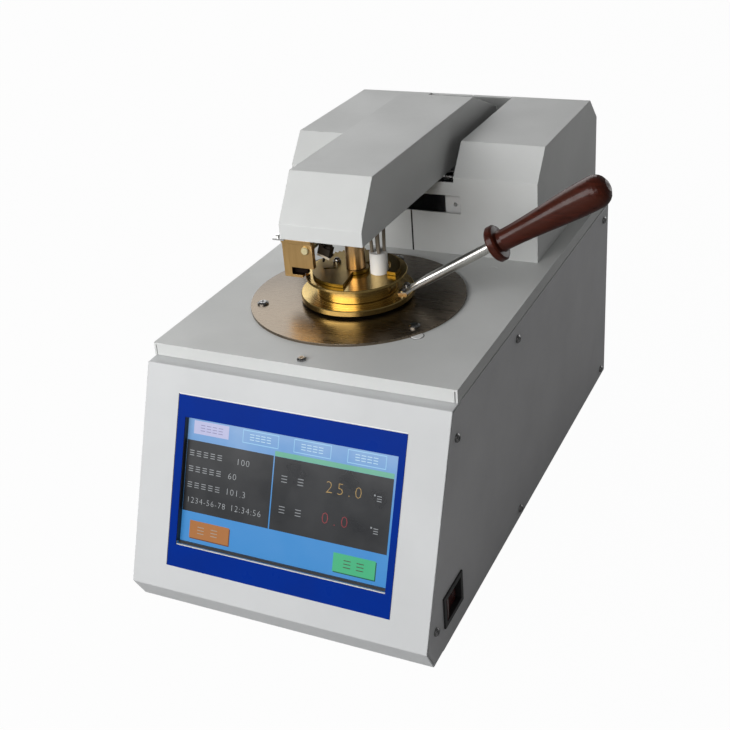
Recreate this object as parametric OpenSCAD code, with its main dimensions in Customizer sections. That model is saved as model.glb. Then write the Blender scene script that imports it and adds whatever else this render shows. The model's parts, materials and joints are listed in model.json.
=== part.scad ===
// Closed-cup flash point tester with a motor-raised head and a touch screen.
// Millimetres. The origin is on the bench under the middle of the whole, +Y is the back.

/* [Case] */
// Width of the case
body_w = 220; // [210:1:250]
// Depth of the top cover, from its front lip to the back
body_d = 356; // [350:1:380]
// Height of the case without its feet
body_h = 170; // [165:1:190]
// How far the foot of the front panel stands ahead of the lip
panel_out = 68; // [60:1:80]
// Height of the rubber feet
foot_h = 6; // [4:0.5:12]
// Radius of a rubber foot
foot_r = 10; // [8:0.5:14]
// Thickness of the case sheets
sheet = 1.5; // [1:0.1:2]
// Height of the lip round the top cover
lip_h = 9.2; // [8:0.2:12]
// Width of the hairline gap between two sheets
seam = 0.2; // [0.1:0.05:0.4]
// Width of the gap between the top cover's lip and the side panels
lip_gap = 0.8; // [0.4:0.1:1.2]

/* [Tower] */
// Distance of the tower's left wall from the middle of the case
tower_left_w = 101; // [98:0.5:104]
// Distance of the tower's right wall from the middle of the case
tower_right_w = 98.5; // [95:0.5:104]
// Depth of the tower from its front face to the back of the case
tower_d = 160; // [150:1:170]
// Height of the tower above the top cover
tower_h = 83; // [80:1:90]
// Height of the upright part of the tower's front
tower_face_h = 61; // [58:1:64]
// Thickness of the tower and head sheets
thin_sheet = 1.2; // [0.8:0.1:1.5]
// Left side of the slot for the arm
slot_left = -38; // [-44:0.5:-37]
// Right side of the slot for the arm
slot_right = 34; // [30:0.5:40]
// Height of the slot's lower edge above the top cover
slot_sill = 57; // [54:0.5:58]

/* [Arm] */
// Width of the arm cover
arm_w = 61; // [60:0.5:62]
// Height of the arm cover's top above the top cover
arm_top = 101.5; // [100:0.5:104]
// Height of the arm cover's lower edge above the top cover
arm_low = 60.5; // [60:0.5:62]
// Height of the hinge shaft above the top cover
hinge_up = 26; // [25:0.5:28]
// Distance of the hinge shaft behind the cup's centre
hinge_back = 187.4; // [185:0.2:190]
// Radius of the hinge shaft
hinge_r = 5; // [4:0.5:6]

/* [Cup and lid] */
// Sideways place of the cup's centre
cup_x = -5; // [-10:0.5:0]
// Distance of the cup's centre behind the front lip
cup_back = 104.6; // [100:0.2:108]
// Inside radius of the cup
cup_r = 25.4; // [25:0.1:26]
// Wall of the cup
cup_wall = 1.6; // [1.2:0.1:2]
// Inside depth of the cup
cup_depth = 56; // [54:0.5:58]
// Radius of the cup's flange
flange_r = 40.3; // [39:0.1:41]
// Radius of the brass lid
lid_r = 35.9; // [35:0.1:36]
// Thickness of the brass lid
lid_t = 2.1; // [1.8:0.1:2.4]
// Radius of the steel drip plate
drip_r = 76.8; // [76:0.2:80]

/* [Mechanism] */
// Radius of the brass column on the lid
column_r = 6.9; // [6.5:0.1:7.5]
// Radius of the white sleeve round the temperature probe
sleeve_r = 6.35; // [6:0.05:6.5]
// Angle that the shutter turns through
shutter_turn = 18; // [14:1:20]
// Radius of the stirrer's lower blades
blade_r = 12; // [9:0.5:12]
// Elevation of the cup's handle
handle_rise = 31; // [25:1:35]
// Length of the handle from its bend to the end of the grip
handle_len = 162; // [150:1:165]
// Angle between the handle and the width of the case
handle_turn = 7; // [-10:1:20]

/* [Hidden] */
$fn = 64;
top_z = foot_h + body_h;
half_w = body_w / 2;
front_y = panel_out - (body_d + panel_out) / 2;
back_y = front_y + body_d;
under_z = top_z - sheet;

// Corners of the front panel, as [y, z]
ledge_in = [front_y + 6, top_z - lip_h - seam];
panel_top = [front_y - 9.1, top_z - 9.9];
panel_foot = [front_y - panel_out, foot_h + 18];
heel = [front_y - panel_out + 10, foot_h];
heel_in = [front_y - panel_out + 26, foot_h];
panel_run = panel_top - panel_foot;
panel_lean = atan(panel_run[0] / panel_run[1]);
front_path = [ledge_in, panel_top, panel_foot, heel, heel_in];

// Display, measured down the panel from its top edge
bezel_w = 166;
bezel_h = 118.4;
bezel_down = 77.4;
window_w = 155.4;
window_h = 88;
window_dx = 0.6;
window_dy = 0.4;
screen_w = 162;
screen_h = 94;
screen_deep = 4;

// Tower profile, as [y, z]
tower_y = back_y - tower_d;
tower_top = top_z + tower_h;
tower_face = top_z + tower_face_h;
tower_path = [
    [tower_y, top_z], [tower_y, tower_face], [tower_y + 18.8, tower_top],
    [back_y - 20.8, tower_top], [back_y, tower_face + 2.8], [back_y, top_z]];
slot_end = back_y - 20.8;
window_low = top_z + 32.8;
window_high = top_z + 46.7;

// Arm profile, as [y, z]
cup_y = front_y + cup_back;
arm_x0 = cup_x - arm_w / 2;
arm_x1 = cup_x + arm_w / 2;
arm_z = top_z + arm_top;
arm_low_z = top_z + arm_low;
arm_front = cup_y - 48.3;
arm_path = [
    [arm_front, arm_low_z], [arm_front, arm_low_z + 10.8], [arm_front + 21.8, arm_z],
    [cup_y + 161, arm_z], [cup_y + 213, arm_z - 21.5], [cup_y + 213, arm_low_z]];
hinge_y = cup_y + hinge_back;
hinge_z = top_z + hinge_up;

// Cup and lid heights
flange_z = top_z + 3.7;
ledge_z = top_z + 8;
seat_z = top_z + 18.7;
neck_r = 26.5;
rim_r = 28.8;
rim_in = 27.8;
lid_z = seat_z + 0.3;
lid_top = lid_z + lid_t;
shutter_z = lid_top + 0.3;
shutter_t = 2.3;
shutter_r = 31;
head_z = top_z + 64;

// The handle sticks out at the right, so the whole instrument's middle lies off the case's
handle_bend = 37.6;
handle_tip = cup_x + (handle_bend + handle_len * cos(handle_rise)) * cos(handle_turn);
middle_x = (handle_tip - half_w - 2) / 2;

plate_from = 32.1;
plate_half = 8;
plate_t = 1.4;

// Igniter shaft, and probe, measured from the cup's centre
spark_x = -28.2;
spark_z = top_z + 41;
nozzle_y = -1.8;
clamp_tilt = 18;
probe_x = 17.2;
probe_y = 1.6;
sleeve_h = 15.6;

// Angles of the drip plate's screws
drip_screw_r = 68;
drip_angles = [-151.5, -31.5, 88.5];

// Gears
lift_teeth = 44;
lift_pinion_teeth = 14;
shutter_teeth = 66;
shutter_pinion_teeth = 10;
lift_gap = (lift_teeth + lift_pinion_teeth) / 2 + 0.2;
shutter_gap = (shutter_teeth + shutter_pinion_teeth) / 2 + 0.2;
shutter_mesh = 115;

// Case screws on each side, as [y, z]
side_screws = [
    [front_y - 4.7, top_z - 30.8], [front_y + 113, top_z - 20.4], [back_y - 15, top_z - 20],
    [front_y - 52.2, foot_h + 24.6], [front_y + 114, foot_h + 7.7], [back_y - 14, foot_h + 7.5]];

// The top cover's screw at the front, and its plugs as [x, y, radius]
top_screw_y = front_y + 6.9;
plug_places = [[cup_x + 61.5, cup_y - 43.4, 4.2], [cup_x + 74.9, cup_y + 73.8, 3]];

// Power switch in the right side panel
switch_y = front_y - 22.8;
switch_z = top_z - 142;
switch_l = 30;
switch_h = 22;

// Fan and inlet in the rear panel
fan_x = 50;
fan_z = foot_h + 88;
inlet_x = -66;
inlet_z = foot_h + 100;

// Helpers

// Moves a piece from the case's own middle to the middle of the whole instrument
module placed() {
    translate([-middle_x, 0, 0]) children();
}

function unit(v) = v / norm(v);
function left_of(a, b) = let (d = unit(b - a)) [-d[1], d[0]];
// A path moved sideways by t and mitred at its corners
function shifted(p, t) = [
    for (i = [0 : len(p) - 1])
        let (before = left_of(p[max(i - 1, 0)], p[max(i, 1)]),
             after = i < len(p) - 1 ? left_of(p[i], p[i + 1]) : before)
            p[i] + t * (before + after) / (1 + before * after)];
function reversed(p) = [for (i = [len(p) - 1 : -1 : 0]) p[i]];

// A [y, z] outline drawn out along X
module along_x(x0, x1) {
    translate([x0, 0, 0])
        rotate([90, 0, 90])
            linear_extrude(x1 - x0) children();
}

// A folded sheet whose outer side follows path
module folded(path, t, x0, x1) {
    along_x(x0, x1)
        polygon(concat(path, reversed(shifted(path, t))));
}

module block(x, y, z) {
    translate([x[0], y[0], z[0]])
        cube([x[1] - x[0], y[1] - y[0], z[1] - z[0]]);
}

module ring(outer, inner, height) {
    difference() {
        cylinder(r = outer, h = height);
        translate([0, 0, -1])
            cylinder(r = inner, h = height + 2);
    }
}

// Children stand on the front panel: x to the right, y up the slope, z outwards
module on_panel(down) {
    translate([0, panel_top[0], panel_top[1]])
        rotate([90 - panel_lean, 0, 0])
            translate([0, -down, 0]) children();
}

module at_cup() {
    translate([cup_x, cup_y, 0]) children();
}

// A cross-head screw with its head's underside at the origin, pointing down
module screw(r, head, long) {
    difference() {
        union() {
            cylinder(r = 2 * r, h = head * 0.55);
            translate([0, 0, head * 0.55])
                cylinder(r1 = 2 * r, r2 = 1.3 * r, h = head * 0.45);
            translate([0, 0, -long])
                cylinder(r = r, h = long);
        }
        for (a = [0, 90])
            rotate([0, 0, a])
                translate([-1.2 * r, -0.2 * r, head * 0.5])
                    cube([2.4 * r, 0.4 * r, head]);
    }
}

// Spur teeth of module 1, from tooth number first to last, as an outline
module teeth(count, first, last) {
    for (i = [first : last])
        rotate(i * 360 / count)
            polygon([
                [count / 2 - 1.5, -0.95], [count / 2 + 0.8, -0.35],
                [count / 2 + 0.8, 0.35], [count / 2 - 1.5, 0.95]]);
}

// Case

module base_tray() {
    x = half_w - sheet - seam;
    y0 = heel_in[0] + seam;
    y1 = back_y - sheet - seam;
    color("lightgrey") placed()
    difference() {
        union() {
            block([-x, x], [y0, y1], [foot_h, foot_h + sheet]);
            for (x0 = [-x, x - sheet])
                block([x0, x0 + sheet], [y0 + 20, y1], [foot_h, foot_h + 16]);
        }
        for (p = foot_places())
            translate([p[0], p[1], foot_h - 1])
                cylinder(r = 2.05, h = 4);
        for (i = [0 : 5])
            block([-70, 70], [60 + i * 12, 65 + i * 12], [foot_h - 1, foot_h + 3]);
        for (s = side_screws)
            translate([-half_w, s[0], s[1]])
                rotate([0, 90, 0])
                    cylinder(r = 1.6, h = body_w);
    }
}

function foot_places() = [
    for (x = [-1, 1], y = [heel_in[0] + 22, back_y - 24]) [x * (half_w - 24), y]];

module rubber_feet() {
    color("black") placed()
    for (p = foot_places())
        translate([p[0], p[1], 0])
            difference() {
                union() {
                    cylinder(r1 = foot_r - 1, r2 = foot_r, h = foot_h);
                    cylinder(r = 2, h = foot_h + sheet);
                    translate([0, 0, foot_h + sheet])
                        cylinder(r1 = 3.4, r2 = 2.2, h = 2);
                }
                translate([0, 0, -1])
                    cylinder(r = 3.2, h = 3);
            }
}

module front_panel() {
    color("whitesmoke") placed()
    difference() {
        folded(front_path, sheet, -half_w, half_w);
        on_panel(bezel_down)
            translate([window_dx - window_w / 2, window_dy - window_h / 2, -4])
                cube([window_w, window_h, 8]);
    }
}

// Outline of a side panel, set back from the front panel's sheet
module side_outline() {
    inset = shifted(front_path, sheet + seam);
    top = top_z - lip_h - lip_gap;
    polygon([
        [ledge_in[0] + seam, top], [ledge_in[0] + seam, inset[0][1]], inset[1], inset[2],
        inset[3], [heel_in[0] + seam, inset[4][1]], [heel_in[0] + seam, foot_h],
        [back_y, foot_h], [back_y, top]]);
}

module side_panel(x0, x1) {
    difference() {
        along_x(x0, x1) side_outline();
        for (s = side_screws)
            translate([x0 - 1, s[0], s[1]])
                rotate([0, 90, 0])
                    cylinder(r = 1.6, h = x1 - x0 + 2);
    }
}

module side_panel_left() {
    color("lightgrey") placed() side_panel(-half_w, -half_w + sheet);
}

module side_panel_right() {
    color("lightgrey") placed()
    difference() {
        side_panel(half_w - sheet, half_w);
        translate([half_w - 5, switch_y - switch_l / 2, switch_z - switch_h / 2])
            cube([10, switch_l, switch_h]);
    }
}

module rear_panel() {
    x = half_w - sheet - seam;
    color("lightgrey") placed()
    difference() {
        block([-x, x], [back_y - sheet, back_y], [foot_h, top_z - lip_h - seam]);
        translate([fan_x, back_y - 5, fan_z])
            rotate([-90, 0, 0]) cylinder(r = 36.5, h = 10);
        fan_screw_places(back_y - 5)
            cylinder(r = 2.1, h = 10);
        block([inlet_x - 14, inlet_x + 14], [back_y - 5, back_y + 5],
            [inlet_z - 12, inlet_z + 12]);
        for (s = [-20, 20])
            translate([inlet_x + s, back_y - 5, inlet_z])
                rotate([-90, 0, 0]) cylinder(r = 1.6, h = 10);
        rear_screw_places(back_y - 5)
            cylinder(r = 1.6, h = 10);
        for (i = [0 : 7])
            block([inlet_x - 26 + i * 7, inlet_x - 23 + i * 7], [back_y - 5, back_y + 5],
                [foot_h + 18, foot_h + 58]);
    }
}

module rear_screw_places(y) {
    for (x = [-1, 1], z = [foot_h + 10, top_z - lip_h - 12])
        translate([x * (half_w - 12), y, z])
            rotate([-90, 0, 0]) children();
}

module fan_screw_places(y) {
    for (a = [-1, 1], b = [-1, 1])
        translate([fan_x + a * 35.75, y, fan_z + b * 35.75])
            rotate([-90, 0, 0]) children();
}

module top_cover() {
    low = top_z - lip_h;
    color("silver") placed()
    difference() {
        union() {
            block([-half_w, half_w], [front_y, back_y], [under_z, top_z]);
            block([-half_w + sheet + 0.6, half_w - sheet - 0.6], [front_y, front_y + sheet],
                [low, top_z]);
            block([-half_w, half_w], [back_y - sheet, back_y], [low, top_z]);
            for (x = [-half_w, half_w - sheet])
                block([x, x + sheet], [front_y, back_y], [low, top_z]);
        }
        at_cup() {
            translate([0, 0, under_z - 1])
                cylinder(r = 50, h = 4);
            for (a = drip_angles)
                rotate([0, 0, a])
                    translate([drip_screw_r, 0, under_z - 1]) cylinder(r = 2.1, h = 4);
        }
        translate([0, top_screw_y, under_z - 1])
            cylinder(r = 1.6, h = 4);
        for (p = plug_places)
            translate([p[0], p[1], under_z - 1])
                cylinder(r = p[2] + 0.05, h = 4);
        block([-44, 24], [tower_y + 62, back_y - 30], [under_z - 1, top_z + 1]);
        for (b = [[bracket_left_x, -1], [bracket_right_x, 1]])
            bracket_screw_places(b[0], b[1])
                translate([0, 0, -6]) cylinder(r = 2.05, h = 12);
    }
}

// Flush plugs in holes of the top cover
module cover_plugs() {
    color("white") placed()
    for (p = plug_places)
        translate([p[0], p[1], under_z])
            cylinder(r = p[2], h = sheet);
}

// Tower

module tower_shell(x0, x1, wall_x0) {
    difference() {
        union() {
            folded(tower_path, -thin_sheet, x0, x1);
            along_x(wall_x0, wall_x0 + thin_sheet) polygon(tower_path);
        }
        block([slot_left, slot_right], [tower_y - 5, slot_end],
            [top_z + slot_sill, tower_top + 5]);
        block([slot_left - 5, slot_right + 4.9], [tower_y - 5, tower_y + 5],
            [window_low, window_high]);
    }
}

module tower_cover_left() {
    color("silver") placed() tower_shell(-tower_left_w, -1.3, -tower_left_w);
}

module tower_cover_right() {
    color("silver") placed() tower_shell(-0.7, tower_right_w, tower_right_w - thin_sheet);
}

module case_screws() {
    color("dimgrey") placed() {
        for (s = side_screws) {
            translate([half_w, s[0], s[1]])
                rotate([0, 90, 0]) screw(1.5, 2, 5);
            translate([-half_w, s[0], s[1]])
                rotate([0, -90, 0]) screw(1.5, 2, 5);
        }
        translate([0, top_screw_y, top_z])
            screw(1.5, 2, 5);
        rear_screw_places(back_y)
            screw(1.5, 2, 5);
    }
}

// Screws of the fan and the mains inlet
module rear_screws() {
    color("dimgrey") placed() {
        fan_screw_places(back_y + 1.6)
            screw(1.9, 2.2, 14);
        for (s = [-20, 20])
            translate([inlet_x + s, back_y + 2.5, inlet_z])
                rotate([-90, 0, 0]) screw(1.5, 2, 8);
    }
}

// Display and electronics

module display_bezel() {
    color("mediumblue") placed()
    on_panel(bezel_down)
        difference() {
            translate([-bezel_w / 2, -bezel_h / 2, 0])
                cube([bezel_w, bezel_h, 0.5]);
            translate([window_dx - window_w / 2, window_dy - window_h / 2, -1])
                cube([window_w, window_h, 4]);
        }
}

module touch_screen() {
    color("lightsteelblue") placed()
    on_panel(bezel_down)
        translate([window_dx - screen_w / 2, window_dy - screen_h / 2, -screen_deep - 1.4])
            cube([screen_w, screen_h, 1.4]);
}

module display_module() {
    color("darkslategrey") placed()
    on_panel(bezel_down)
        union() {
            translate([window_dx - 82, window_dy - 49, -screen_deep - 9.6])
                cube([164, 98, 8]);
            translate([window_dx - 60, window_dy - 36, -screen_deep - 19.6])
                cube([120, 72, 10.1]);
            for (x = [-80, 76], y = [-49, 47.2])
                translate([window_dx + x, window_dy + y, -screen_deep - 2])
                    cube([4, 1.8, screen_deep + 2 - sheet - seam]);
        }
}

module control_board() {
    z = foot_h + 24;
    color("darkgreen") placed()
    translate([0, front_y - 6, 0])
        union() {
            block([-84, 64], [0, 100], [z, z + 1.6]);
            for (x = [-78, 58], y = [6, 94])
                translate([x, y, foot_h + sheet])
                    cylinder(r = 3, h = 17);
            for (x = [-78, 58], y = [6, 94])
                translate([x, y, foot_h + sheet + 17])
                    cylinder(r = 1.6, h = 10);
            block([-60, -36], [30, 54], [z + 1.6, z + 4]);
            block([-20, 8], [60, 84], [z + 1.6, z + 14]);
            block([20, 56], [8, 20], [z + 1.6, z + 12]);
            block([-80, -72], [20, 84], [z + 1.6, z + 10]);
            for (i = [0 : 3])
                translate([22 + i * 10, 50, z + 1.6]) cylinder(r = 4, h = 14);
        }
}

module power_supply() {
    z = foot_h + sheet;
    color("silver") placed()
    difference() {
        block([-96, 2], [60, 168], [z, z + 40]);
        for (i = [0 : 8], j = [0 : 4])
            translate([-86 + i * 10, 76 + j * 14, z + 38])
                cylinder(r = 2.2, h = 4);
        block([-92, -2], [164, 170], [z + 3, z + 18]);
    }
}

module switch_housing() {
    color("black") placed()
    translate([half_w, switch_y, switch_z])
        difference() {
            union() {
                block([0, 1.2], [-16, 16], [-12, 12]);
                block([-24, 0.1], [-14.8, 14.8], [-10.8, 10.8]);
                for (y = [-8, 0, 8])
                    block([-31, -23], [y - 0.4, y + 0.4], [-3, 3]);
            }
            block([-9, 5], [-12.6, 12.6], [-8.6, 8.6]);
            translate([-4, 0, -10]) cylinder(r = 1.55, h = 20);
        }
}

// The rocker stands out at its front end, and turns about two short pins
module switch_rocker() {
    color("maroon") placed()
    translate([half_w - 4, switch_y, switch_z])
        rotate([0, 0, 9])
            difference() {
                union() {
                    block([0, 3.2], [-12, 12], [-8.2, 8.2]);
                    translate([-2, 0, -8.2]) cylinder(r = 2.6, h = 16.4);
                    translate([0, 0, -9.8]) cylinder(r = 1.5, h = 19.6);
                }
                translate([34, 0, -8.3])
                    cylinder(r = 32, h = 16.6, $fn = 128);
            }
}

module mains_inlet() {
    color("black") placed()
    translate([inlet_x, back_y, inlet_z])
        difference() {
            union() {
                block([-25, 25], [0, 2.5], [-11.5, 11.5]);
                block([-13.7, 13.7], [-24, 0.1], [-11.5, 11.5]);
                for (x = [-7, 0, 7])
                    block([x - 1, x + 1], [-20, 0], [-2, 2]);
            }
            difference() {
                block([-11.8, 11.8], [-16, 5], [-8.4, 8.4]);
                for (x = [-7, 0, 7])
                    block([x - 1, x + 1], [-20, 0], [-2, 2]);
            }
            for (s = [-20, 20])
                translate([s, -1, 0]) rotate([-90, 0, 0]) cylinder(r = 1.6, h = 5);
        }
}

module fan_frame() {
    y0 = back_y - sheet - 25;
    color("black") placed()
    difference() {
        union() {
            difference() {
                block([fan_x - 40, fan_x + 40], [y0, y0 + 25], [fan_z - 40, fan_z + 40]);
                translate([fan_x, y0 - 1, fan_z])
                    rotate([-90, 0, 0]) cylinder(r = 38, h = 27);
            }
            translate([fan_x, y0, fan_z]) {
                rotate([-90, 0, 0]) cylinder(r = 15, h = 3);
                for (a = [20, 110])
                    rotate([0, a, 0]) block([-39, 39], [0, 3], [-2.5, 2.5]);
            }
        }
        fan_screw_places(y0 - 1)
            cylinder(r = 2.1, h = 27);
        translate([fan_x, y0 - 1, fan_z])
            rotate([-90, 0, 0]) cylinder(r = 1.55, h = 12);
    }
}

module fan_rotor() {
    y0 = back_y - sheet - 21.5;
    color("dimgrey") placed()
    translate([fan_x, y0, fan_z])
        rotate([-90, 0, 0])
            union() {
                cylinder(r = 16, h = 19);
                translate([0, 0, -3.4]) cylinder(r = 1.5, h = 4);
                for (i = [0 : 6])
                    rotate([0, 0, i * 360 / 7])
                        translate([26, 0, 9.5])
                            rotate([38, 0, 0])
                                translate([-11, -1, -8]) cube([21, 2, 16]);
            }
}

// Wire guard over the fan, as flat rings joined by four legs
module fan_guard() {
    color("silver") placed()
    translate([fan_x, back_y, fan_z])
        rotate([-90, 0, 0])
            union() {
                for (r = [8, 16, 24, 32, 38])
                    ring(r + 0.9, r - 0.9, 1.8);
                for (a = [45 : 90 : 315])
                    rotate([0, 0, a])
                        difference() {
                            union() {
                                translate([7.5, -1, 0]) cube([41, 2, 1.6]);
                                translate([50.6, 0, 0]) cylinder(r = 4, h = 1.6);
                            }
                            translate([50.6, 0, -1]) cylinder(r = 2.1, h = 4);
                        }
            }
}

// Heater and cup

module drip_plate() {
    color("darkgrey") placed()
    at_cup()
        difference() {
            translate([0, 0, top_z]) cylinder(r = drip_r, h = 2, $fn = 128);
            translate([0, 0, top_z - 1]) cylinder(r = 36.3, h = 4);
            for (a = drip_angles)
                rotate([0, 0, a])
                    translate([drip_screw_r, 0, top_z - 1]) cylinder(r = 2.1, h = 4);
        }
}

module drip_plate_screws() {
    color("gainsboro") placed()
    at_cup()
        for (a = drip_angles)
            rotate([0, 0, a])
                translate([drip_screw_r, 0, top_z + 2]) screw(2, 1.8, 12);
}

module insulating_ring() {
    color("ivory") placed()
    at_cup()
        translate([0, 0, under_z - 2])
            difference() {
                ring(74, 50, 2);
                for (a = drip_angles)
                    rotate([0, 0, a])
                        translate([drip_screw_r, 0, -1]) cylinder(r = 2.1, h = 4);
            }
}

module heater_block() {
    rim = under_z - 2;
    pocket_z = seat_z - cup_depth - 13.2;
    color("dimgrey") placed()
    at_cup()
        difference() {
            union() {
                translate([0, 0, rim - 4]) cylinder(r = 74, h = 4);
                translate([0, 0, top_z - 66]) cylinder(r = 46, h = 60);
                translate([0, 0, rim - 4]) cylinder(r = 35.8, h = flange_z - rim + 4);
            }
            translate([0, 0, pocket_z])
                cylinder(r = cup_r + cup_wall + 2.4, h = 80);
            for (a = drip_angles)
                rotate([0, 0, a])
                    translate([drip_screw_r, 0, rim - 5]) cylinder(r = 2.05, h = 6);
        }
}

module heater_band() {
    color("silver") placed()
    at_cup()
        translate([0, 0, top_z - 58])
            union() {
                ring(48.4, 46.1, 40);
                block([47.5, 53], [-5, -1.5], [4, 36]);
                block([47.5, 53], [1.5, 5], [4, 36]);
                translate([50.8, -8, 20]) rotate([-90, 0, 0]) cylinder(r = 1.8, h = 16);
            }
}

module insulation_sleeve() {
    color("wheat") placed()
    at_cup()
        translate([0, 0, top_z - 60])
            ring(60, 54, 52);
}

module heater_jacket() {
    color("silver") placed()
    at_cup()
        difference() {
            translate([0, 0, top_z - 70]) cylinder(r = 61.5, h = 62.4);
            translate([0, 0, top_z - 68.8]) cylinder(r = 60.3, h = 80);
            for (i = [0 : 11])
                rotate([0, 0, i * 30])
                    translate([44, 0, top_z - 72]) cylinder(r = 4, h = 5);
        }
}

module test_cup() {
    color("goldenrod") placed()
    difference() {
        at_cup()
            rotate_extrude($fn = 128)
                polygon([
                    [0, seat_z - cup_depth - 2.4],
                    [cup_r + cup_wall - 2, seat_z - cup_depth - 2.4],
                    [cup_r + cup_wall, seat_z - cup_depth - 0.4], [cup_r + cup_wall, flange_z],
                    [flange_r - 0.5, flange_z], [flange_r, flange_z + 0.5],
                    [flange_r, ledge_z - 0.5], [flange_r - 0.5, ledge_z],
                    [neck_r, ledge_z], [neck_r, seat_z], [cup_r, seat_z],
                    [cup_r, seat_z - cup_depth], [0, seat_z - cup_depth]]);
        handle_screw_places()
            translate([0, 0, ledge_z - 2.6]) cylinder(r = 1.5, h = 6);
    }
}

// Children lie in the handle's own frame: x outwards, z up
module at_handle() {
    at_cup()
        rotate([0, 0, handle_turn]) children();
}

// Children lie along the sloping rod: z runs up the rod from its bend
module along_rod() {
    at_handle()
        translate([handle_bend, 0, ledge_z + 0.9])
            rotate([0, 90 - handle_rise, 0]) children();
}

// The rod's end is flattened into a blade, which spreads into a plate on the cup's flange
module handle_rod() {
    color("silver") placed()
    difference() {
        union() {
            at_handle()
                block([plate_from, handle_bend + 0.7], [-plate_half, plate_half],
                    [ledge_z, ledge_z + plate_t]);
            difference() {
                along_rod()
                    rotate([90, 0, 90])
                        translate([0, 0, -0.7])
                            linear_extrude(plate_t)
                                polygon([
                                    [-plate_half, -1], [plate_half, -1],
                                    [plate_half, 0.5], [3.5, 10], [-3.5, 10],
                                    [-plate_half, 0.5]]);
                at_handle()
                    block([20, 60], [-12, 12], [ledge_z - 10, ledge_z]);
            }
            difference() {
                along_rod()
                    translate([0, 0, 0.5]) cylinder(r = 3.6, h = 107);
                along_rod()
                    rotate([0, -9, 0])
                        translate([-20.7, -10, -20]) cube([20, 20, 60]);
                along_rod()
                    rotate([0, 9, 0])
                        translate([0.7, -10, -20]) cube([20, 20, 60]);
            }
        }
        handle_screw_places()
            translate([0, 0, ledge_z - 2]) cylinder(r = 1.55, h = 6);
    }
}

module handle_screw_places() {
    at_handle()
        for (y = [-5.4, 5.4])
            translate([34.6, y, 0]) children();
}

module handle_screws() {
    color("gainsboro") placed()
    handle_screw_places()
        translate([0, 0, ledge_z + plate_t])
            union() {
                cylinder(r = 2.2, h = 1.2);
                translate([0, 0, 1.2]) cylinder(r1 = 2.2, r2 = 1.1, h = 1);
                translate([0, 0, -3.6]) cylinder(r = 1.45, h = 3.7);
            }
}

module handle_grip() {
    start = 71;
    end = handle_len;
    color("saddlebrown") placed()
    along_rod()
        rotate_extrude($fn = 96)
            difference() {
                union() {
                    polygon(concat(
                        [[0, start], [11.6, start], [12.8, start + 1.2],
                         [12.8, start + 4.8], [11.6, start + 6], [7.9, start + 6.6]],
                        [for (i = [0 : 12]) grip_point(i / 12, start + 9, end - 13)],
                        [for (a = [15 : 15 : 75])
                            [4.2 + 7 * cos(a), end - 13 + 9 * sin(a)]],
                        [[4.2, end - 3.4], [0, end - 2.6]]));
                }
                translate([-1, start - 1]) square([4.6, 38]);
            }
}

// The grip swells from a thin neck to a round end
function grip_point(u, z0, z1) = [7.4 + 3.8 * (3 * u * u - 2 * u * u * u), z0 + (z1 - z0) * u];

// Hinge and lifting drive

// The right bracket, whose foot points right, also carries the lift motor
module hinge_bracket(x0, foot_dir) {
    foot_x = foot_dir > 0 ? [x0, x0 + 15] : [x0 - 12, x0 + 3];
    front = foot_dir > 0 ? hinge_y - lift_gap - 20 : hinge_y - 34;
    difference() {
        union() {
            along_x(x0, x0 + 3)
                polygon([
                    [front, top_z], [hinge_y + 30, top_z], [hinge_y + 30, top_z + 6],
                    [hinge_y + 11, hinge_z + 12], [front + 8, hinge_z + 12],
                    [front, top_z + 6]]);
            block(foot_x, [front, hinge_y + 30], [top_z, top_z + 3]);
        }
        translate([x0 - 1, hinge_y, hinge_z])
            rotate([0, 90, 0]) cylinder(r = hinge_r + 2.5, h = 5);
        if (foot_dir > 0)
            translate([x0 - 1, hinge_y - lift_gap, hinge_z])
                rotate([0, 90, 0]) cylinder(r = 9.5, h = 5);
        bracket_screw_places(x0, foot_dir)
            translate([0, 0, -6]) cylinder(r = 2.05, h = 12);
    }
}

module bracket_screw_places(x0, foot_dir) {
    x = foot_dir > 0 ? x0 + 9 : x0 - 6;
    for (y = [hinge_y - 5, hinge_y + 22])
        translate([x, y, top_z]) children();
}

bracket_left_x = -53;
bracket_right_x = 40;

module hinge_bracket_left() {
    color("silver") placed() hinge_bracket(bracket_left_x, -1);
}

module hinge_bracket_right() {
    color("silver") placed() hinge_bracket(bracket_right_x, 1);
}

module hinge_bushes() {
    color("peru") placed()
    for (x = [bracket_left_x, bracket_right_x])
        translate([x - 0.6, hinge_y, hinge_z])
            rotate([0, 90, 0])
                difference() {
                    union() {
                        cylinder(r = hinge_r + 2.5, h = 4.2);
                        cylinder(r = hinge_r + 4, h = 0.6);
                    }
                    translate([0, 0, -1]) cylinder(r = hinge_r + 0.05, h = 7);
                }
}

module bracket_screws() {
    color("dimgrey") placed() {
        bracket_screw_places(bracket_left_x, -1)
            translate([0, 0, 3]) screw(2, 2.4, 7);
        bracket_screw_places(bracket_right_x, 1)
            translate([0, 0, 3]) screw(2, 2.4, 7);
    }
}

module lift_motor() {
    x = bracket_right_x + 3;
    color("slategrey") placed()
    translate([x, hinge_y - lift_gap, hinge_z])
        rotate([0, 90, 0])
            difference() {
                union() {
                    cylinder(r = 18.5, h = 22);
                    translate([0, 0, 22]) cylinder(r = 16, h = 26);
                    translate([0, 0, 48]) cylinder(r = 5, h = 2.5);
                    translate([0, 0, -3]) cylinder(r = 9.3, h = 3.1);
                }
                translate([0, 0, -4]) cylinder(r = 3.05, h = 20);
            }
}

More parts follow.
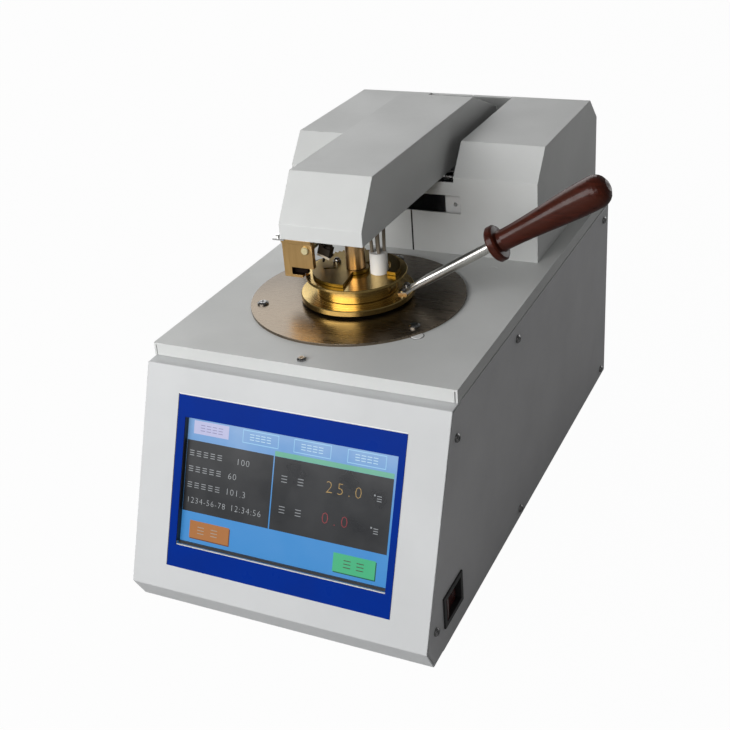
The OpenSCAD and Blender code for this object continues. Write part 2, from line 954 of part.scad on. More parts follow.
module lift_pinion() {
    color("gold") placed()
    translate([30, hinge_y - lift_gap, hinge_z])
        rotate([0, 90, 0])
            union() {
                linear_extrude(6)
                    rotate(180 / lift_pinion_teeth + 90)
                        teeth(lift_pinion_teeth, 0, lift_pinion_teeth - 1);
                cylinder(r = lift_pinion_teeth / 2 - 1.3, h = 8);
                cylinder(r = 3, h = 28);
            }
}

module lift_gear() {
    color("gold") placed()
    translate([30, hinge_y, hinge_z])
        rotate([0, 90, 0])
            difference() {
                union() {
                    linear_extrude(6)
                        rotate(-90) teeth(lift_teeth, -4, 9);
                    intersection() {
                        cylinder(r = lift_teeth / 2 - 1.3, h = 6);
                        translate([-26, -30, -1]) cube([52, 42, 8]);
                    }
                    cylinder(r = 11, h = 9);
                }
                translate([0, 0, -1]) cylinder(r = hinge_r, h = 12);
            }
}

module limit_switch() {
    color("ivory") placed()
    difference() {
        union() {
            block([24, 40], [tower_y + 8, tower_y + 15], [top_z + 30, top_z + 44]);
            block([28, 36], [tower_y + 8, tower_y + 12], [top_z, top_z + 30]);
        }
        translate([32, tower_y + 20, top_z + 37])
            rotate([90, 0, 0]) cylinder(r = 1.6, h = 20);
    }
}

// Arm

module arm_cover() {
    inner = shifted(arm_path, -thin_sheet);
    color("silver") placed()
    difference() {
        along_x(arm_x0, arm_x1) polygon(arm_path);
        along_x(arm_x0 + thin_sheet, arm_x1 - thin_sheet)
            polygon(concat(
                [[inner[0][0], arm_low_z - 5]], inner, [[inner[5][0], arm_low_z - 5]]));
    }
}

module arm_frame() {
    xl = arm_x0 + 1.7;
    xr = arm_x1 - 1.7;
    color("darkgrey") placed()
    difference() {
        union() {
            for (x = [xl, xr - 2])
                along_x(x, x + 2)
                    polygon([
                        [cup_y - 41, head_z], [cup_y - 41, head_z + 12],
                        [cup_y - 24, arm_z - 3], [cup_y + 156, arm_z - 3],
                        [cup_y + 198, arm_z - 19.6], [hinge_y + 14, hinge_z],
                        [hinge_y - 14, hinge_z], [hinge_y - 30, head_z]]);
            for (x = [xl, xr - 2])
                translate([x, hinge_y, hinge_z])
                    rotate([0, 90, 0]) cylinder(r = 14, h = 2);
            block([xl, xr], [cup_y - 20, cup_y + 150], [arm_z - 4.5, arm_z - 3]);
            block([xl, xr], [cup_y - 41, cup_y + 54], [head_z, head_z + 2.5]);
            block([xl, xr], [hinge_y - 40, hinge_y - 37], [head_z, arm_z - 4]);
        }
        translate([xl - 1, hinge_y, hinge_z])
            rotate([0, 90, 0]) cylinder(r = hinge_r, h = arm_w);
        at_cup() {
            translate([0, 0, head_z - 1]) cylinder(r = 4, h = 5);
            translate([probe_x, probe_y, head_z - 1]) cylinder(r = 7, h = 5);
            rotate([0, 0, shutter_mesh])
                translate([shutter_gap, 0, head_z - 1]) cylinder(r = 2.6, h = 5);
        }
    }
}

module hinge_shaft() {
    color("silver") placed()
    translate([bracket_left_x - 4, hinge_y, hinge_z])
        rotate([0, 90, 0])
            union() {
                cylinder(r = hinge_r, h = bracket_right_x - bracket_left_x + 11);
                translate([0, 0, 0.4]) cylinder(r = hinge_r + 2, h = 1.8);
            }
}

// The lid has two ports, one of them under the igniter. The shutter closes both.
// Its rim reaches down round the cup's neck, almost to the flange.
module cup_lid() {
    color("goldenrod") placed()
    at_cup()
        difference() {
            rotate_extrude($fn = 128)
                polygon([
                    [0, lid_z], [rim_in, lid_z], [rim_in, ledge_z + 0.4],
                    [rim_r, ledge_z + 0.4], [rim_r, lid_z], [lid_r - 0.3, lid_z],
                    [lid_r, lid_z + 0.3], [lid_r, lid_top - 0.3], [lid_r - 0.3, lid_top],
                    [0, lid_top]]);
            translate([0, 0, lid_z - 5]) cylinder(r = 3.2, h = 20);
            translate([probe_x, probe_y, lid_z - 5]) cylinder(r = 2.6, h = 20);
            for (a = lid_ports)
                rotate([0, 0, a]) port(12, lid_z - 5, 1.2);
        }
}

// Places of the lid's ports, and of the shutter's openings when it is shut
port_turn = 203;
port_step = 95;
lid_ports = [port_turn - shutter_turn, port_turn - shutter_turn - port_step];

module port(h, z, half) {
    translate([0, 0, z])
        union() {
            translate([14.8, -half, 0]) cube([7, 2 * half, h]);
            for (x = [14.8, 21.8])
                translate([x, 0, 0]) cylinder(r = half, h = h);
        }
}

module lid_column() {
    color("goldenrod") placed()
    at_cup()
        difference() {
            union() {
                translate([0, 0, lid_top])
                    cylinder(r = 5, h = shutter_t + 1);
                translate([0, 0, shutter_z + shutter_t + 0.3])
                    cylinder(r = column_r, h = head_z - shutter_z - shutter_t - 0.3);
            }
            translate([0, 0, lid_top - 1]) cylinder(r = 3.2, h = 60);
        }
}

module stirrer_motor() {
    z = head_z + 2.5;
    color("slategrey") placed()
    at_cup()
        difference() {
            union() {
                translate([0, 0, z]) cylinder(r = 13.8, h = 26);
                translate([0, 0, z + 26]) cylinder(r = 4, h = 1.6);
            }
            translate([0, 0, z - 1]) cylinder(r = 3.2, h = 16);
        }
}

module stirrer() {
    low = seat_z - 46;
    color("gainsboro") placed()
    at_cup()
        union() {
            translate([0, 0, low]) cylinder(r = 2, h = head_z + 14 - low);
            translate([0, 0, lid_z + 2]) cylinder(r = 3.15, h = 6);
            translate([0, 0, head_z - 9]) cylinder(r = 3.15, h = 8);
            for (s = [[low, blade_r, 7], [low + 26, blade_r - 3, 6]])
                translate([0, 0, s[0]])
                    union() {
                        cylinder(r = 3.4, h = s[2]);
                        for (a = [0, 90, 180, 270])
                            rotate([0, 0, a])
                                translate([2, 0, s[2] / 2])
                                    rotate([35, 0, 0])
                                        translate([0, -0.6, -s[2] / 2])
                                            cube([s[1] - 2.2, 1.2, s[2]]);
                    }
        }
}

// Shutter: a plate over the left and back of the lid, open at the front right
module shutter_plate() {
    color("darkgoldenrod") placed()
    at_cup()
        translate([0, 0, shutter_z])
            difference() {
                union() {
                    difference() {
                        cylinder(r = shutter_r, h = shutter_t, $fn = 128);
                        wedge(-82, -4, 40);
                        intersection() {
                            wedge(-10, 68, 40);
                            translate([0, 0, -1]) ring(24.4, 8.4, 4);
                        }
                    }
                    cylinder(r = 9, h = shutter_t);
                    intersection() {
                        cylinder(r = shutter_r + 0.8, h = shutter_t, $fn = 128);
                        wedge(shutter_mesh - 13, shutter_mesh + 35, 40);
                    }
                    rotate([0, 0, shutter_mesh])
                        linear_extrude(shutter_t) teeth(shutter_teeth, -2, 6);
                }
                translate([0, 0, -1]) cylinder(r = 5.05, h = 4);
                for (a = [port_turn, port_turn - port_step])
                    rotate([0, 0, a]) port(4, -1, 1.2);
                translate([-16.6, 3.4, -1]) cylinder(r = 1.5, h = 4);
            }
}

// A slice of a circle between two angles less than 180 apart
module wedge(from, to, r) {
    translate([0, 0, -1])
        linear_extrude(6)
            polygon([
                [0, 0], [r * cos(from), r * sin(from)],
                [1.6 * r * cos((from + to) / 2), 1.6 * r * sin((from + to) / 2)],
                [r * cos(to), r * sin(to)]]);
}

module shutter_screw() {
    color("gainsboro") placed()
    at_cup()
        translate([-16.6, 3.4, shutter_z + shutter_t])
            rotate_extrude($fn = 48)
                polygon(concat(
                    [[0, -1.4], [1.45, -1.4], [1.45, 0], [2.9, 0], [2.9, 1.6]],
                    [for (a = [0 : 15 : 90]) [2.5 * cos(a), 1.8 + 2.2 * sin(a)]]));
}

module shutter_motor() {
    z = head_z + 2.5;
    color("slategrey") placed()
    at_cup()
        rotate([0, 0, shutter_mesh])
            translate([shutter_gap, 0, z])
                difference() {
                    union() {
                        cylinder(r = 10, h = 12);
                        translate([0, 0, 12]) cylinder(r = 7.5, h = 14);
                    }
                    translate([0, 0, -1]) cylinder(r = 1.55, h = 9);
                }
}

module shutter_pinion() {
    color("gold") placed()
    at_cup()
        rotate([0, 0, shutter_mesh])
            translate([shutter_gap, 0, 0])
                union() {
                    translate([0, 0, shutter_z])
                        linear_extrude(2)
                            rotate(180 + 180 / shutter_pinion_teeth)
                                teeth(shutter_pinion_teeth, 0, shutter_pinion_teeth - 1);
                    translate([0, 0, shutter_z])
                        cylinder(r = shutter_pinion_teeth / 2 - 1.3, h = 5);
                    translate([0, 0, shutter_z])
                        cylinder(r = 1.5, h = head_z + 8 - shutter_z);
                }
}

// Brass bracket under the left of the head, carrying the igniter's shaft
module brass_bracket() {
    low = top_z + 20.2;
    flange = top_z + 46;
    color("goldenrod") placed()
    at_cup()
        difference() {
            union() {
                block([-46, -22.8], [-20.5, -16.5], [low, flange]);
                block([-45, -37], [-17, -10], [low, low + 9]);
                block([-38, -30], [-17, -13], [low + 1.6, low + 9]);
                block([-46, -22.8], [-22, 16], [flange, flange + 2.5]);
                block([-36, -22.8], [12, 16], [spark_z - 8, flange]);
                block([-28.4, -22.8], [-8, 10], [flange, head_z]);
            }
            block([-40, -20], [-25, -16.4], [top_z + 22.2, top_z + 27.6]);
            block([-32, -20], [-25, -16.4], [low - 5, top_z + 24.4]);
            translate([spark_x, -30, spark_z])
                rotate([-90, 0, 0]) cylinder(r = 3.03, h = 60);
        }
}

module earth_tab() {
    color("gainsboro") placed()
    translate([arm_x0, arm_front, arm_low_z - 1.2])
        union() {
            block([-6, 2.5], [0.3, 6.5], [0, 1.2]);
            translate([-3.4, 3.4, 1.2]) cylinder(r = 1.3, h = 1.8);
        }
}

module igniter_shaft() {
    color("gold") placed()
    at_cup()
        translate([spark_x, -21.2, spark_z])
            rotate([-90, 0, 0])
                union() {
                    cylinder(r = 3, h = 38.6);
                    translate([0, 0, -0.6]) cylinder(r1 = 2.4, r2 = 3, h = 0.6);
                }
}

// The igniter: a collar on the shaft, a tilted block in front of it with a plate under it
// and a screw on top, and a thin nozzle over the lid
module igniter_arm() {
    color("goldenrod") placed()
    at_cup()
        translate([spark_x, nozzle_y, spark_z])
            rotate([0, clamp_tilt, 0])
                difference() {
                    union() {
                        block([-4.2, 5], [4.8, 8.8], [-4.4, 3.8]);
                        block([4.4, 8], [-6.5, 8.8], [-4, 2.3]);
                        block([4.4, 13.4], [-6.5, 0.5], [-5, 0.6]);
                        block([4.9, 14.2], [-6.9, 0.5], [-6, -4.9]);
                        translate([11, -3.2, 0.5]) cylinder(r = 2.4, h = 2);
                        translate([11, -3.2, 2.4]) cylinder(r = 1.3, h = 2);
                        translate([8, 0, -13.5]) cylinder(r1 = 0.8, r2 = 1.5, h = 9);
                    }
                    translate([0, -30, 0])
                        rotate([-90, 0, 0]) cylinder(r = 3, h = 60);
                }
}

// Temperature probe

module probe_sleeve() {
    color("white") placed()
    at_cup()
        translate([probe_x, probe_y, lid_top])
            difference() {
                cylinder(r = sleeve_r, h = sleeve_h);
                translate([0, 0, -1]) cylinder(r = 2.55, h = 20);
            }
}

module temperature_probe() {
    color("silver") placed()
    at_cup()
        translate([probe_x, probe_y, seat_z - 44])
            union() {
                cylinder(r = 2.5, h = lid_top + sleeve_h + 1 - seat_z + 44);
                sphere(r = 2.5);
            }
}

module probe_leads() {
    color("tan") placed()
    at_cup()
        translate([probe_x, probe_y, lid_top + sleeve_h + 0.1])
            for (a = [30 : 90 : 300])
                rotate([0, 0, a])
                    translate([4.2, 0, 0])
                        rotate([0, 2, 0])
                            cylinder(r = 1.2, h = head_z + 2 - lid_top - sleeve_h);
}

base_tray();
rubber_feet();
front_panel();
side_panel_left();
side_panel_right();
rear_panel();
top_cover();
cover_plugs();
tower_cover_left();
tower_cover_right();
case_screws();
display_bezel();
touch_screen();
display_module();
control_board();
power_supply();
switch_housing();
switch_rocker();
mains_inlet();
fan_frame();
fan_guard();
fan_rotor();
rear_screws();
drip_plate();
drip_plate_screws();
insulating_ring();
heater_block();
heater_band();
insulation_sleeve();
heater_jacket();
test_cup();
handle_rod();
handle_screws();
handle_grip();
hinge_bracket_left();
hinge_bracket_right();
hinge_bushes();
bracket_screws();
lift_motor();
lift_pinion();
limit_switch();
arm_cover();
arm_frame();
hinge_shaft();
lift_gear();
cup_lid();
lid_column();
stirrer_motor();
stirrer();
shutter_plate();
shutter_screw();
shutter_motor();
shutter_pinion();
brass_bracket();
earth_tab();
igniter_arm();
igniter_shaft();
probe_sleeve();
temperature_probe();
probe_leads();
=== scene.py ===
"""Looks of a bench flash point tester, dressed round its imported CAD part.

Sizes are in millimetres, measured from the middle of the case on the bench, until at() or
MM turns them into the frame's metres. Sizes inside materials and the spots of the lamps
are in metres.
"""
import json
import math

import bmesh
import bpy
from mathutils import Matrix, Vector


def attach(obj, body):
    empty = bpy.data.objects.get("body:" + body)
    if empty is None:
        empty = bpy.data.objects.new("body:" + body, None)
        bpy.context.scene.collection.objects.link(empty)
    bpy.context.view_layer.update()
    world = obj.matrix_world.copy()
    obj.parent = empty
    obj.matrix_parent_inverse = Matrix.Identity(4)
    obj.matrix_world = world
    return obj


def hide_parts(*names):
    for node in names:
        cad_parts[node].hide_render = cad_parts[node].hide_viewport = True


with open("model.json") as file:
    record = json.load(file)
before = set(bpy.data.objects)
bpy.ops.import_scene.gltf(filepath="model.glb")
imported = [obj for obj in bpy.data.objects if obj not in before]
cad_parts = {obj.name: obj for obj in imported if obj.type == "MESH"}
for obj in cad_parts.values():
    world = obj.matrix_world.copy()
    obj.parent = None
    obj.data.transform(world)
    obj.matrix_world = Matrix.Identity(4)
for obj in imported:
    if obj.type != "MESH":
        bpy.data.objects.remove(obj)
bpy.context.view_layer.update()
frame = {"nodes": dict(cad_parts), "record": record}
nodes = frame["nodes"]

MM = 0.001
CASE_MIDDLE_X = -0.029073
CUP = (-5.0, -39.4)
TOP_Z = 176.0
LEDGE_Z = TOP_Z + 8
TOWER_Y = 52.0
WINDOW_LOW = 32.8
BODY_OF = {}
for body_name, members in frame["record"]["behaviour"]["bodies"].items():
    for member in members:
        BODY_OF[member] = body_name


def at(x, y, z):
    """A point measured in millimetres from the case's middle, in the frame's metres."""
    return Vector((x * MM + CASE_MIDDLE_X, y * MM, z * MM))


def by_cup(x, y, z):
    """A point measured in millimetres from the cup's axis and the bench, in the frame's metres."""
    return at(CUP[0] + x, CUP[1] + y, z)


# Shader graphs

class Value:
    """A shader socket that takes part in ordinary arithmetic."""

    def __init__(self, graph, socket):
        self.graph = graph
        self.socket = socket

    def __add__(self, other):
        return self.graph.maths("ADD", self, other)

    def __sub__(self, other):
        return self.graph.maths("SUBTRACT", self, other)

    def __mul__(self, other):
        return self.graph.maths("MULTIPLY", self, other)


class Graph:
    """One material and the nodes that feed its shader."""

    def __init__(self, name, **constants):
        self.material = bpy.data.materials.new(name)
        self.material.use_nodes = True
        self.tree = self.material.node_tree
        self.shader = self.tree.nodes["Principled BSDF"]
        for socket, value in constants.items():
            self.feed(socket.replace("_", " "), value)

    def node(self, kind, inputs=None, output=0, **settings):
        made = self.tree.nodes.new(kind)
        for key, value in settings.items():
            setattr(made, key, value)
        for key, value in (inputs or {}).items():
            self.plug(made.inputs[key], value)
        return Value(self, made.outputs[output])

    def plug(self, socket, value):
        if isinstance(value, Value):
            self.tree.links.new(value.socket, socket)
        elif isinstance(value, (tuple, list)) and len(value) == 3 and socket.type == "RGBA":
            socket.default_value = (*value, 1.0)
        else:
            socket.default_value = value

    def maths(self, operation, first, second):
        return self.node("ShaderNodeMath", {0: first, 1: second}, operation=operation)

    def feed(self, socket, value):
        self.plug(self.shader.inputs[socket], value)

    def place(self, centre=(0, 0, 0), turn=(0, 0, 0), stretch=(1, 1, 1)):
        spot = self.node("ShaderNodeTexCoord", output="Object")
        moved = self.node("ShaderNodeMapping", {"Vector": spot, "Location": [-c for c in centre]})
        return self.node("ShaderNodeMapping",
                         {"Vector": moved, "Rotation": turn, "Scale": stretch})

    def noise(self, scale, detail=2.0, roughness=0.5, place=None):
        return self.node("ShaderNodeTexNoise", {
            "Vector": place or self.place(), "Scale": scale, "Detail": detail,
            "Roughness": roughness})

    def noise_along(self, value, detail=2.0):
        return self.node("ShaderNodeTexNoise", {"W": value, "Scale": 1.0, "Detail": detail},
                         noise_dimensions="1D")

    def radius(self, centre):
        """Distance from an upright axis through centre, in metres."""
        flat = self.place(centre, stretch=(1, 1, 0))
        return self.node("ShaderNodeVectorMath", {0: flat}, output="Value",
                         operation="LENGTH")

    def between(self, value, low, high, out_low=0.0, out_high=1.0):
        return self.node("ShaderNodeMapRange", {
            "Value": value, "From Min": low, "From Max": high,
            "To Min": out_low, "To Max": out_high})

    def mixed(self, factor, first, second):
        made = self.tree.nodes.new("ShaderNodeMix")
        made.data_type = "RGBA"
        self.plug(made.inputs[0], factor)
        self.plug(made.inputs[6], first)
        self.plug(made.inputs[7], second)
        return Value(self, made.outputs[2])

    def bump(self, height, distance, strength=1.0):
        self.feed("Normal", self.node("ShaderNodeBump", {
            "Height": height, "Distance": distance, "Strength": strength}))


def powder_coat(name, colour, shade):
    """Fine textured paint with faint cloudy handling marks."""
    g = Graph(name, Specular_IOR_Level=0.35)
    grain = g.noise(2600.0, 2.0)
    cloud = g.noise(14.0, 4.0, 0.6)
    g.feed("Base Color", g.mixed(g.between(cloud, 0.35, 0.7), colour, shade))
    g.feed("Roughness", g.between(cloud, 0.3, 0.7, 0.42, 0.56) + grain * 0.04)
    g.bump(grain, 0.00006, 0.35)
    return g.material


def brushed(name, colour, shade, roughness, stretch, centre=(0, 0, 0), turn=(0, 0, 0),
            depth=0.00001):
    """Metal with straight fine scratches."""
    g = Graph(name, Metallic=1.0)
    lines = g.noise(900.0, 3.0, 0.6, g.place(centre, turn, stretch))
    cloud = g.noise(22.0, 3.0)
    g.feed("Base Color", g.mixed(g.between(cloud * 0.6 + lines * 0.4, 0.3, 0.7), shade, colour))
    g.feed("Roughness", g.between(lines, 0.3, 0.7, roughness - 0.06, roughness + 0.1))
    g.bump(lines, depth, 0.5)
    return g.material


def turned(name, colour, shade, roughness, centre, depth=0.000012):
    """Metal off the lathe: fine rings about an upright axis, and a little tarnish."""
    g = Graph(name, Metallic=1.0)
    rings = g.noise_along(g.radius(centre) * 2600.0, 2.0)
    bands = g.noise_along(g.node("ShaderNodeSeparateXYZ", {"Vector": g.place()}, output="Z")
                          * 2200.0, 2.0)
    cloud = g.noise(60.0, 4.0, 0.6)
    g.feed("Base Color", g.mixed(g.between(cloud, 0.35, 0.75), colour, shade))
    g.feed("Roughness", g.between(rings * 0.6 + bands * 0.4, 0.3, 0.7,
                                  roughness - 0.05, roughness + 0.09) + cloud * 0.05)
    g.bump(rings + bands, depth, 0.45)
    return g.material


def moulded(name, colour, roughness, coat=0.0, grain=900.0, depth=0.00002, mottle=0.25,
            shine=0.5):
    """Plastic, rubber or ceramic with a faint skin texture."""
    g = Graph(name, Coat_Weight=coat, Coat_Roughness=0.12, Specular_IOR_Level=shine)
    skin = g.noise(grain, 2.0)
    cloud = g.noise(35.0, 3.0)
    darker = tuple(c * (1 - mottle) for c in colour)
    g.feed("Base Color", g.mixed(g.between(cloud, 0.3, 0.7), colour, darker))
    g.feed("Roughness", g.between(cloud, 0.3, 0.7, roughness - 0.05, roughness + 0.07))
    g.bump(skin, depth, 0.4)
    return g.material


def varnished_wood():
    """Dark red-brown wood with its grain along the handle, under a worn varnish."""
    g = Graph("grip_wood", Coat_Roughness=0.08, Specular_IOR_Level=0.14)
    along = g.place(by_cup(0, 0, LEDGE_Z), (0, math.radians(31), math.radians(-7)),
                    (0.06, 1, 1))
    grain = g.noise(420.0, 5.0, 0.65, along)
    bands = g.noise(120.0, 2.0, 0.5, along)
    worn = g.noise(38.0, 4.0, 0.6)
    dark = g.mixed(g.between(grain, 0.35, 0.7), (0.030, 0.006, 0.003), (0.078, 0.014, 0.007))
    g.feed("Base Color", g.mixed(g.between(bands, 0.4, 0.7), dark, (0.052, 0.012, 0.006)))
    g.feed("Roughness", g.between(grain, 0.3, 0.7, 0.26, 0.40))
    g.feed("Coat Weight", g.between(worn, 0.35, 0.6, 0.26, 0.10))
    g.bump(grain, 0.00004, 0.35)
    return g.material


def drip_steel_with_painted_shade():
    """The drip plate: brushed steel, made darker towards the back as painted shade."""
    g = Graph("drip_steel", Metallic=1.0)
    lines = g.noise(900.0, 3.0, 0.6, g.place((0, 0, 0), (0, 0, math.radians(35)), (0.03, 1, 1)))
    roughness_and_shade_noise = g.noise(26.0, 4.0, 0.6)
    depth = g.node("ShaderNodeSeparateXYZ", {"Vector": g.place(by_cup(0, 0, 0))},
                   output="Y")
    plate_tone = g.mixed(g.between(lines, 0.3, 0.7), (0.18, 0.140, 0.100), (0.25, 0.205, 0.155))
    # Painted shade: a darker tone that takes over towards the back of the plate
    painted_shade_tone = g.mixed(g.between(lines, 0.3, 0.7), (0.088, 0.074, 0.058), (0.14, 0.12, 0.098))
    painted_shade_mask = g.between(depth + (roughness_and_shade_noise - 0.5) * 0.03, -0.045, 0.04)
    g.feed("Base Color", g.mixed(painted_shade_mask, plate_tone, painted_shade_tone))
    g.feed("Roughness", g.between(lines, 0.3, 0.7, 0.20, 0.32) + roughness_and_shade_noise * 0.06)
    g.bump(lines, 0.00001, 0.5)
    return g.material


def lit(name, colour, glow=0.55, roughness=0.25, haze=0.10):
    """A patch of the display: a lit colour, paler towards the top, under the clear film."""
    g = Graph(name, Coat_Weight=0.35, Coat_Roughness=0.06, Emission_Strength=glow)
    uneven = g.noise(24.0, 3.0, 0.6)
    height = g.node("ShaderNodeSeparateXYZ", {"Vector": g.place()}, output="Z")
    pale = tuple(c + (1 - c) * haze for c in colour)
    spread = g.between(height, 0.085, 0.142) * (uneven * 1.6 + 0.2)
    g.feed("Emission Color", g.mixed(spread, colour, pale))
    g.feed("Base Color", g.mixed(spread, tuple(c * 0.45 for c in colour),
                                 tuple(c * 0.45 for c in pale)))
    g.feed("Roughness", g.between(uneven, 0.3, 0.7, roughness, roughness + 0.15))
    g.bump(g.noise(90.0, 2.0), 0.00005, 0.25)
    return g.material


BRASS = (0.60, 0.44, 0.165)
BRASS_SHADE = (0.44, 0.29, 0.09)
CUP_AXIS = tuple(by_cup(0, 0, 0))

MATERIALS = {
    "casing_paint": powder_coat("casing_paint", (0.68, 0.69, 0.68), (0.64, 0.65, 0.64)),
    "panel_paint": powder_coat("panel_paint", (0.625, 0.635, 0.64), (0.59, 0.60, 0.605)),
    "side_paint": powder_coat("side_paint", (0.66, 0.66, 0.67), (0.60, 0.60, 0.61)),
    "bezel_blue": moulded("bezel_blue", (0.002, 0.028, 0.27), 0.30, 0.0, 600.0, 0.00001, 0.12,
                          0.04),
    "screen_glass": lit("screen_glass", (0.060, 0.30, 0.72), 0.30, 0.2),
    "board_green": moulded("board_green", (0.02, 0.14, 0.05), 0.4, 0.2),
    "black_plastic": moulded("black_plastic", (0.012, 0.012, 0.013), 0.42),
    "rocker_red": moulded("rocker_red", (0.09, 0.012, 0.008), 0.22, 0.5),
    "rubber": moulded("rubber", (0.02, 0.02, 0.02), 0.7, 0.0, 700.0, 0.00005),
    "zinc": brushed("zinc", (0.60, 0.61, 0.62), (0.42, 0.43, 0.44), 0.38, (1, 1, 1)),
    "steel": brushed("steel", (0.72, 0.72, 0.71), (0.55, 0.55, 0.54), 0.24, (0.1, 1, 1)),
    "drip_steel": drip_steel_with_painted_shade(),
    "brass": turned("brass", BRASS, BRASS_SHADE, 0.20, CUP_AXIS),
    "bronze": turned("bronze", (0.45, 0.26, 0.12), (0.33, 0.18, 0.08), 0.35, (0, 0, 0)),
    "heater_metal": moulded("heater_metal", (0.02, 0.018, 0.017), 0.55, 0.0, 500.0, 0.00005),
    "insulation": moulded("insulation", (0.62, 0.58, 0.48), 0.85, 0.0, 300.0, 0.0002),
    "ceramic_white": moulded("ceramic_white", (0.84, 0.84, 0.83), 0.34, 0.15, 500.0, 0.00001,
                             0.05),
    "motor_metal": moulded("motor_metal", (0.05, 0.055, 0.06), 0.42),
    "grip_wood": varnished_wood(),
    "lead_wire": moulded("lead_wire", (0.30, 0.25, 0.19), 0.6, 0.0, 1500.0, 0.0001, 0.4),
    "fan_plastic": moulded("fan_plastic", (0.016, 0.016, 0.018), 0.4),
}

# Materials that differ from the one of their slot
BRACKET_BRASS = brushed("bracket_brass", (0.66, 0.44, 0.20), (0.50, 0.31, 0.12), 0.34,
                        (1, 1, 0.04), depth=0.00002)
# Painted shade: the shutter's brass made very dark, in place of the dark reflections on its top
SHUTTER_PAINTED_SHADE = turned("shutter_painted_shade", (0.19, 0.125, 0.022), (0.12, 0.075, 0.012), 0.30, CUP_AXIS)
COLUMN_BRASS = brushed("column_brass", (0.62, 0.42, 0.22), (0.46, 0.29, 0.13), 0.30,
                       (1, 1, 0.04))
ROD_STEEL = turned("rod_steel", (0.56, 0.55, 0.52), (0.49, 0.48, 0.45), 0.27, CUP_AXIS,
                   depth=0.0000003)
# Painted shade: a dark brown for the front of the handle's foot
FOOT_PAINTED_SHADE = brushed("foot_painted_shade", (0.34, 0.25, 0.17), (0.24, 0.17, 0.11), 0.45, (1, 1, 1))
SCREW_STEEL = brushed("screw_steel", (0.36, 0.36, 0.36), (0.22, 0.22, 0.22), 0.22, (1, 1, 1))
SHAFT_BRASS = brushed("shaft_brass", (1.0, 0.90, 0.56), (0.92, 0.80, 0.46), 0.42, (1, 1, 1))
# Painted shade: near black for the bracket's slot and the block behind it
SLOT_PAINTED_SHADE = moulded("slot_painted_shade", (0.010, 0.005, 0.003), 0.6, 0.0, 700.0, 0.00003, 0.25, 0.08)
BLACKENED = moulded("blackened_brass", (0.030, 0.022, 0.016), 0.45, 0.0, 700.0, 0.00003)
# Painted highlight: a near-white tone for the bare brass edge of the igniter's lower plate
EDGE_PAINTED_HIGHLIGHT = moulded("brass_edge_painted_highlight", (0.95, 0.84, 0.68), 0.32, 0.0, 700.0, 0.00001, 0.15)

for entry in frame["record"]["subparts"]:
    nodes[entry["node"]].data.materials[0] = MATERIALS[entry["material_slot"]]
for material, dressed in ((BRACKET_BRASS, ["brass_bracket"]), (BLACKENED, ["igniter_arm"]),
                          (SHUTTER_PAINTED_SHADE, ["shutter_plate"]), (COLUMN_BRASS, ["lid_column"]),
                          (ROD_STEEL, ["handle_rod"]), (SHAFT_BRASS, ["igniter_shaft"]),
                          (SCREW_STEEL, ["case_screws", "rear_screws", "drip_plate_screws",
                                         "handle_screws", "shutter_screw"])):
    for name in dressed:
        nodes[name].data.materials[0] = material


# Pieces

FLAT_ANGLE = math.radians(0.6)
SHARP_ANGLE = math.radians(30)


def piece(name, bm, material, body):
    """Turns a bmesh into a finished object that rides on a body."""
    bmesh.ops.recalc_face_normals(bm, faces=bm.faces)
    mesh = bpy.data.meshes.new(name)
    bm.to_mesh(mesh)
    bm.free()
    made = bpy.data.objects.new(name, mesh)
    bpy.context.collection.objects.link(made)
    mesh.materials.append(material)
    mesh.polygons.foreach_set("use_smooth", [False] * len(mesh.polygons))
    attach(made, body)
    return made


def block(bm, middle, sides, turn=Matrix.Identity(4)):
    """Adds a block to bm: its middle in metres, its sides in millimetres, and its turn."""
    size = Matrix.Diagonal([side * MM for side in sides] + [1])
    bmesh.ops.create_cube(bm, size=1.0, matrix=Matrix.Translation(middle) @ turn @ size)


def softened(node, width):
    """A copy of a CAD node with its sharp edges rounded, shown in its place."""
    source = nodes[node]
    bm = bmesh.new()
    bm.from_mesh(source.data)
    bmesh.ops.remove_doubles(bm, verts=bm.verts, dist=1e-6)
    bmesh.ops.dissolve_limit(bm, angle_limit=FLAT_ANGLE, verts=bm.verts, edges=bm.edges)
    made = piece(node + "_edges", bm, source.data.materials[0], BODY_OF[node])
    rounding = made.modifiers.new("edges", "BEVEL")
    rounding.width = width * MM
    rounding.segments = 2
    rounding.limit_method = "ANGLE"
    rounding.angle_limit = SHARP_ANGLE
    rounding.harden_normals = True
    made.data.polygons.foreach_set("use_smooth", [True] * len(made.data.polygons))
    made.data.set_sharp_from_angle(angle=SHARP_ANGLE)
    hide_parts(node)
    return made


def painted(made, material, low, high):
    """Gives material to the faces of made whose middle lies between two corners."""
    made.data.materials.append(material)
    index = len(made.data.materials) - 1
    for face in made.data.polygons:
        if all(low[i] <= face.center[i] <= high[i] for i in range(3)):
            face.material_index = index


for sheet_node, width in (("top_cover", 0.5), ("tower_cover_left", 0.5),
                          ("tower_cover_right", 0.5), ("arm_cover", 0.5),
                          ("front_panel", 0.6), ("side_panel_left", 0.4),
                          ("side_panel_right", 0.4), ("rear_panel", 0.3)):
    softened(sheet_node, width)

# The bracket's slot: its walls and the block behind it are painted dark, as painted shade
bracket = softened("brass_bracket", 0.25)
painted(bracket, SLOT_PAINTED_SHADE, by_cup(-40.5, -20.4, 198.1), by_cup(-29.5, -12.5, 203.7))

